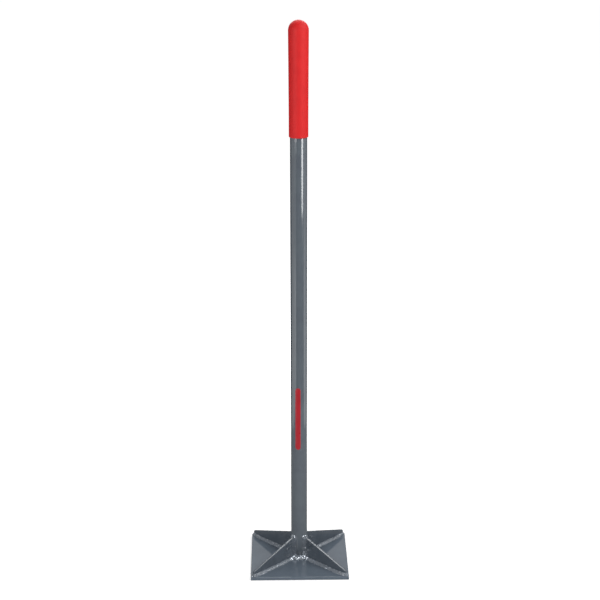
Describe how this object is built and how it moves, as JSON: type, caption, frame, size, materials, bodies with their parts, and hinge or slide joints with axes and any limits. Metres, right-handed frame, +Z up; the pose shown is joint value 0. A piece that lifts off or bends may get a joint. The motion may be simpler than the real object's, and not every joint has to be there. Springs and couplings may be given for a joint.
{
  "type": "hand tamper",
  "caption": "Upright hand tamper: a square steel plate on a long tube handle, braced by welded corner gussets, with a soft domed grip; packs soil, gravel or paving sand.",
  "frame": {"origin": "centre of the base plate's underside, on the ground", "axes": "+Z up the handle, -Y towards the front of the tool as pictured, X along the plate's front edge"},
  "size_m": [0.2032, 0.2032, 1.1339],
  "materials": {
    "painted_steel": "gloss",
    "painted_weld": "gloss",
    "vinyl": "satin"
  },
  "bodies": {
    "root": {"base_plate": "painted_steel", "handle_tube": "painted_steel", "gusset_front_left": "painted_steel", "gusset_front_right": "painted_steel", "gusset_rear_right": "painted_steel", "gusset_rear_left": "painted_steel", "foot_weld_front": "painted_weld", "foot_weld_right": "painted_weld", "foot_weld_rear": "painted_weld", "foot_weld_left": "painted_weld", "base_weld_front_left": "painted_weld", "base_weld_front_right": "painted_weld", "base_weld_rear_right": "painted_weld", "base_weld_rear_left": "painted_weld", "riser_weld_front_left_front": "painted_weld", "riser_weld_front_left_left": "painted_weld", "riser_weld_front_right_right": "painted_weld", "riser_weld_front_right_front": "painted_weld", "riser_weld_rear_right_rear": "painted_weld", "riser_weld_rear_right_right": "painted_weld", "riser_weld_rear_left_left": "painted_weld", "riser_weld_rear_left_rear": "painted_weld", "crest_weld_front_left": "painted_weld", "crest_weld_front_right": "painted_weld", "crest_weld_rear_right": "painted_weld", "crest_weld_rear_left": "painted_weld", "grip": "vinyl"}
  },
  "joints": []
}
